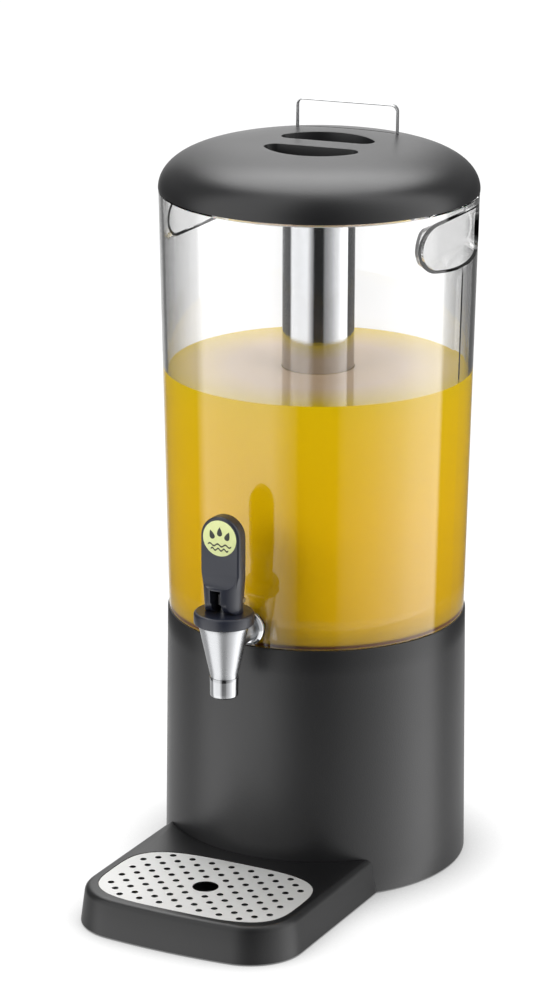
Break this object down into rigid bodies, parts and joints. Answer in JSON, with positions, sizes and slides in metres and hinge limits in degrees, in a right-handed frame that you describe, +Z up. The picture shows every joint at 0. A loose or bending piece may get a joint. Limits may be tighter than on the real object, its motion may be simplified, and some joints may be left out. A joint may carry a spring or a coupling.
{
  "type": "juice dispenser",
  "caption": "Table-top juice dispenser: clear tapered container with steel ice tube and domed lid on a round base, self-closing lever tap and drip tray with a lift-out grille",
  "frame": {"origin": "on the column's vertical axis at the level of the surface that the dispenser stands on", "axes": "+Z up, the tap and the drip tray face -Y, +X is the right-hand side seen from behind the tap"},
  "size_m": [0.2208, 0.3363, 0.5296],
  "materials": {
    "base_black": "black plastic with a fine satin grain",
    "foot_rubber": "black rubber",
    "screw_steel": "zinc-plated steel",
    "seal_rubber": "dark silicone",
    "clear_wall": "clear polished plastic",
    "juice": "cloudy orange juice",
    "tap_steel": "polished stainless steel",
    "tap_chrome": "bright chrome",
    "seal_white": "white silicone",
    "tap_black": "black plastic, satin sheen",
    "guide_plastic": "white plastic",
    "spring_steel": "drawn spring wire",
    "disc_lime": "lime green printed plastic",
    "lid_black": "black plastic with a fine satin grain",
    "holder_steel": "polished steel strip",
    "tube_steel": "polished stainless steel",
    "grille_steel": "satin stainless steel"
  },
  "bodies": {
    "base": {"base_shell": "base_black", "base_plate": "base_black", "foot_ring": "foot_rubber", "base_screws": "screw_steel", "seat_ring": "seal_rubber"},
    "container": {"container": "clear_wall", "juice": "juice", "tap_shank": "tap_steel", "tap_flange": "tap_chrome", "outer_gasket": "seal_white", "inner_gasket": "seal_white", "shank_nut": "tap_steel", "tap_body": "tap_steel", "tap_collar": "tap_black", "stem_guide": "guide_plastic", "stem_seal": "seal_rubber", "return_spring": "spring_steel"},
    "stem": {"valve_stem": "tap_steel", "seat_plug": "seal_white", "lever_pin": "tap_steel"},
    "lever": {"lever": "tap_black", "lever_disc": "disc_lime"},
    "lid": {"lid_shell": "lid_black", "lid_liner": "lid_black", "lid_seal": "seal_white", "lid_screws": "screw_steel", "card_holder": "holder_steel"},
    "ice_tube": {"ice_tube": "tube_steel", "tube_collar": "lid_black", "tube_seal": "seal_white"},
    "tray": {"drip_tray": "base_black", "tray_feet": "foot_rubber"},
    "grille": {"grille": "grille_steel"}
  },
  "joints": [
    {"name": "container_lift", "type": "slide", "parent": "base", "child": "container", "axis": [0, 0, 1], "range_m": [0, 0.15]},
    {"name": "stem_lift", "type": "slide", "parent": "container", "child": "stem", "axis": [0, 0, 1], "range_m": [0, 0.0045], "stiffness_N_per_m": 600, "springref_m": -0.003, "deforming": ["return_spring"]},
    {"name": "lever_tilt", "type": "hinge", "parent": "stem", "child": "lever", "pos_m": [0, -0.1351, 0.2253], "axis": [1, 0, 0], "range_deg": [0, 32]},
    {"name": "lid_lift", "type": "slide", "parent": "container", "child": "lid", "axis": [0, 0, 1], "range_m": [0, 0.32]},
    {"name": "tube_turn", "type": "hinge", "parent": "lid", "child": "ice_tube", "pos_m": [0, 0, 0.47], "axis": [0, 0, 1], "range_deg": [0, 60]},
    {"name": "tray_slide", "type": "slide", "parent": "base", "child": "tray", "axis": [0, -1, 0], "range_m": [0, 0.06]},
    {"name": "grille_lift", "type": "slide", "parent": "tray", "child": "grille", "axis": [0, 0, 1], "range_m": [0, 0.1]}
  ],
  "couplings": [
    {"joint": "lever_tilt", "follows": "stem_lift", "rad_per_m": 123.45}
  ]
}
